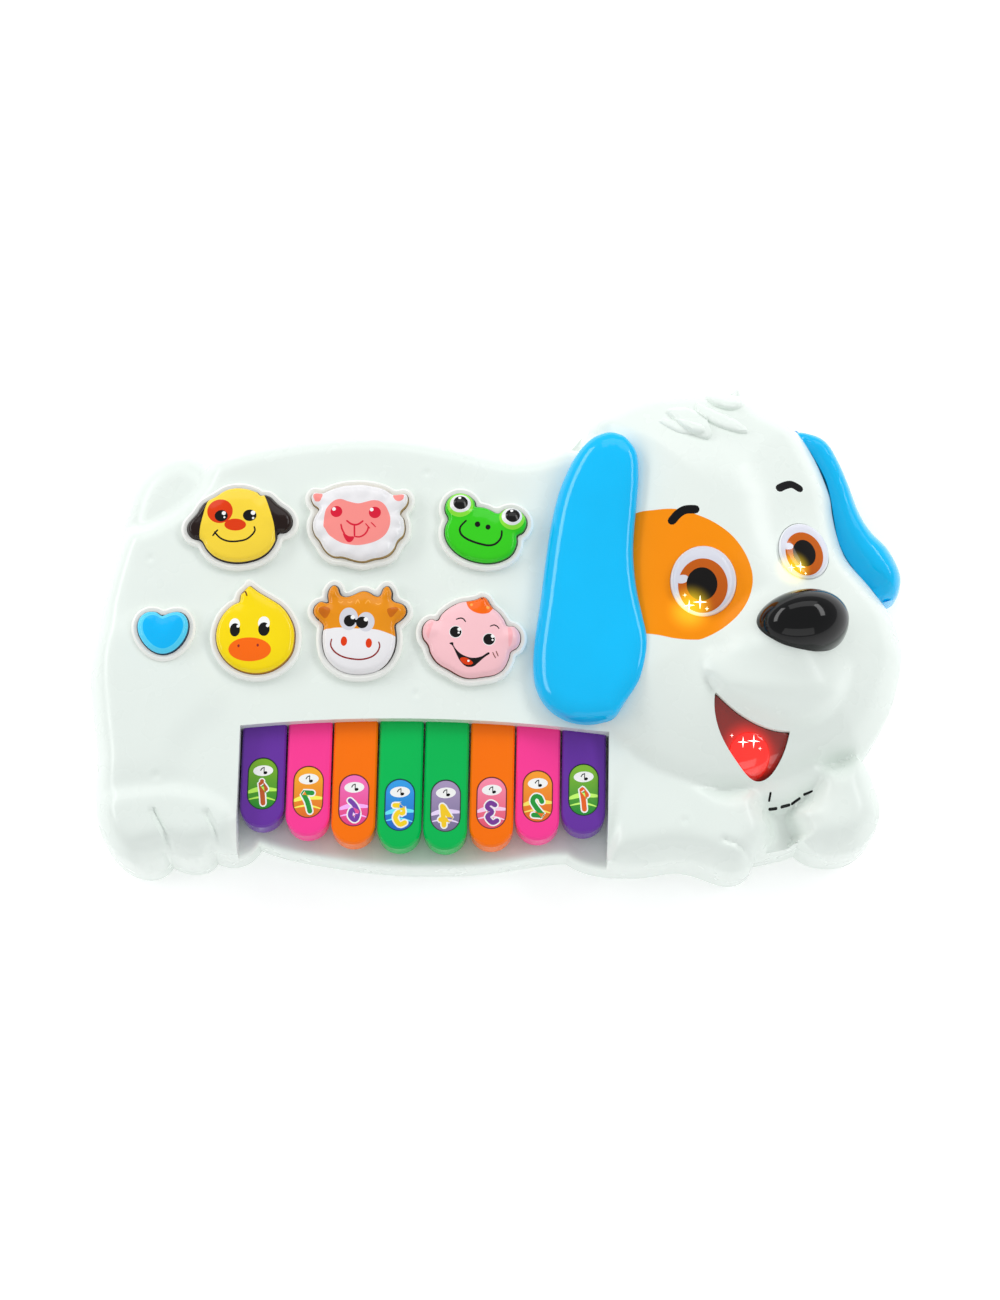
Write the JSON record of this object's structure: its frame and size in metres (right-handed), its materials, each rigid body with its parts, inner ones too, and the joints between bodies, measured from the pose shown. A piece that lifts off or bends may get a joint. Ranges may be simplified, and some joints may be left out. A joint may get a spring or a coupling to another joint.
{
  "type": "toy electronic keyboard",
  "caption": "Puppy-shaped toy piano lying flat: a short row of coloured round-ended keys, animal-face push buttons, and a dog's head with ears, nose, lit eyes and mouth.",
  "frame": {"origin": "centre of the footprint, on the surface that the rubber feet stand on", "axes": "+Z out of the keys and the face, +X from the tail to the head, +Y from the keys to the puppy's back"},
  "size_m": [0.3248, 0.2073, 0.077],
  "materials": {
    "shell_white": "glossy ABS moulding",
    "ear_blue": "glossy ABS moulding",
    "gloss_black": "polished",
    "clear_lens": "clear polystyrene dome",
    "eye_print": "printed disc: iris and pupil",
    "red_lens": "translucent red",
    "led_clear": "clear epoxy",
    "steel": "nickel plated",
    "rail_grey": "moulded",
    "board_green": "solder mask",
    "component_black": "moulded",
    "silicone": "soft, satin",
    "paper_black": "pressed paper",
    "ferrite": "sintered",
    "cell_wrap": "plain sleeve",
    "foot_rubber": "satin",
    "lead_pvc": "PVC sleeve",
    "label_print": "printed plate",
    "key_purple": "glossy ABS",
    "key_pink": "glossy ABS",
    "key_orange": "glossy ABS",
    "key_green": "glossy ABS",
    "button_yellow": "glossy, printed",
    "button_white": "glossy, printed",
    "button_green": "glossy, printed",
    "button_tan": "glossy, printed",
    "button_pink": "glossy, printed",
    "button_blue": "glossy"
  },
  "bodies": {
    "case": {"front_shell": "shell_white", "rear_cover": "shell_white", "ear_left": "ear_blue", "ear_right": "ear_blue", "nose": "gloss_black", "eye_lens_left": "clear_lens", "eye_lens_right": "clear_lens", "eye_print_left": "eye_print", "eye_print_right": "eye_print", "mouth_lens": "red_lens", "led_boards": "board_green", "leds": "led_clear", "hinge_rod": "steel", "key_rail": "rail_grey", "key_board": "board_green", "main_board": "board_green", "board_components": "component_black", "key_domes": "silicone", "button_domes": "silicone", "speaker_frame": "steel", "speaker_cone": "paper_black", "speaker_magnet": "ferrite", "batteries": "cell_wrap", "contact_springs": "steel", "contact_plates": "steel", "case_screws": "steel", "board_screws": "steel", "speaker_screws": "steel", "power_switch_body": "component_black", "rubber_feet": "foot_rubber", "battery_leads": "lead_pvc", "speaker_leads": "lead_pvc", "ribbon_cable": "lead_pvc"},
    "key_1": {"key_1": "key_purple", "key_label_1": "label_print"},
    "key_2": {"key_2": "key_pink", "key_label_2": "label_print"},
    "key_3": {"key_3": "key_orange", "key_label_3": "label_print"},
    "key_4": {"key_4": "key_green", "key_label_4": "label_print"},
    "key_5": {"key_5": "key_green", "key_label_5": "label_print"},
    "key_6": {"key_6": "key_orange", "key_label_6": "label_print"},
    "key_7": {"key_7": "key_pink", "key_label_7": "label_print"},
    "key_8": {"key_8": "key_purple", "key_label_8": "label_print"},
    "button_dog": {"button_dog": "button_yellow"},
    "button_sheep": {"button_sheep": "button_white"},
    "button_frog": {"button_frog": "button_green"},
    "button_duck": {"button_duck": "button_yellow"},
    "button_cow": {"button_cow": "button_tan"},
    "button_baby": {"button_baby": "button_pink"},
    "button_heart": {"button_heart": "button_blue"},
    "switch_cap": {"power_switch_cap": "component_black"},
    "door": {"battery_door": "shell_white", "battery_door_screw": "steel"}
  },
  "joints": [
    {"name": "key_1_hinge", "type": "hinge", "parent": "case", "child": "key_1", "pos_m": [-0.0911, -0.04, 0.028], "axis": [1, 0, 0], "range_deg": [0, 4], "stiffness_Nm_per_rad": 0.4, "springref_deg": -6.88, "deforming": ["key_domes"]},
    {"name": "key_2_hinge", "type": "hinge", "parent": "case", "child": "key_2", "pos_m": [-0.07315, -0.04, 0.028], "axis": [1, 0, 0], "range_deg": [0, 4], "stiffness_Nm_per_rad": 0.4, "springref_deg": -6.88, "deforming": ["key_domes"]},
    {"name": "key_3_hinge", "type": "hinge", "parent": "case", "child": "key_3", "pos_m": [-0.0552, -0.04, 0.028], "axis": [1, 0, 0], "range_deg": [0, 4], "stiffness_Nm_per_rad": 0.4, "springref_deg": -6.88, "deforming": ["key_domes"]},
    {"name": "key_4_hinge", "type": "hinge", "parent": "case", "child": "key_4", "pos_m": [-0.03725, -0.04, 0.028], "axis": [1, 0, 0], "range_deg": [0, 4], "stiffness_Nm_per_rad": 0.4, "springref_deg": -6.88, "deforming": ["key_domes"]},
    {"name": "key_5_hinge", "type": "hinge", "parent": "case", "child": "key_5", "pos_m": [-0.0193, -0.04, 0.028], "axis": [1, 0, 0], "range_deg": [0, 4], "stiffness_Nm_per_rad": 0.4, "springref_deg": -6.88, "deforming": ["key_domes"]},
    {"name": "key_6_hinge", "type": "hinge", "parent": "case", "child": "key_6", "pos_m": [-0.00135, -0.04, 0.028], "axis": [1, 0, 0], "range_deg": [0, 4], "stiffness_Nm_per_rad": 0.4, "springref_deg": -6.88, "deforming": ["key_domes"]},
    {"name": "key_7_hinge", "type": "hinge", "parent": "case", "child": "key_7", "pos_m": [0.0166, -0.04, 0.028], "axis": [1, 0, 0], "range_deg": [0, 4], "stiffness_Nm_per_rad": 0.4, "springref_deg": -6.88, "deforming": ["key_domes"]},
    {"name": "key_8_hinge", "type": "hinge", "parent": "case", "child": "key_8", "pos_m": [0.03455, -0.04, 0.028], "axis": [1, 0, 0], "range_deg": [0, 4], "stiffness_Nm_per_rad": 0.4, "springref_deg": -6.88, "deforming": ["key_domes"]},
    {"name": "button_dog_press", "type": "slide", "parent": "case", "child": "button_dog", "axis": [0, 0, -1], "range_m": [0, 0.002], "stiffness_N_per_m": 400, "springref_m": -0.001, "deforming": ["button_domes"]},
    {"name": "button_sheep_press", "type": "slide", "parent": "case", "child": "button_sheep", "axis": [0, 0, -1], "range_m": [0, 0.002], "stiffness_N_per_m": 400, "springref_m": -0.001, "deforming": ["button_domes"]},
    {"name": "button_frog_press", "type": "slide", "parent": "case", "child": "button_frog", "axis": [0, 0, -1], "range_m": [0, 0.002], "stiffness_N_per_m": 400, "springref_m": -0.001, "deforming": ["button_domes"]},
    {"name": "button_duck_press", "type": "slide", "parent": "case", "child": "button_duck", "axis": [0, 0, -1], "range_m": [0, 0.002], "stiffness_N_per_m": 400, "springref_m": -0.001, "deforming": ["button_domes"]},
    {"name": "button_cow_press", "type": "slide", "parent": "case", "child": "button_cow", "axis": [0, 0, -1], "range_m": [0, 0.002], "stiffness_N_per_m": 400, "springref_m": -0.001, "deforming": ["button_domes"]},
    {"name": "button_baby_press", "type": "slide", "parent": "case", "child": "button_baby", "axis": [0, 0, -1], "range_m": [0, 0.002], "stiffness_N_per_m": 400, "springref_m": -0.001, "deforming": ["button_domes"]},
    {"name": "button_heart_press", "type": "slide", "parent": "case", "child": "button_heart", "axis": [0, 0, -1], "range_m": [0, 0.002], "stiffness_N_per_m": 400, "springref_m": -0.001, "deforming": ["button_domes"]},
    {"name": "power_switch_slide", "type": "slide", "parent": "case", "child": "switch_cap", "axis": [1, 0, 0], "range_m": [0, 0.004]},
    {"name": "battery_door_hinge", "type": "hinge", "parent": "case", "child": "door", "pos_m": [-0.051, 0.0347, 0.003], "axis": [1, 0, 0], "range_deg": [0, 60]}
  ]
}
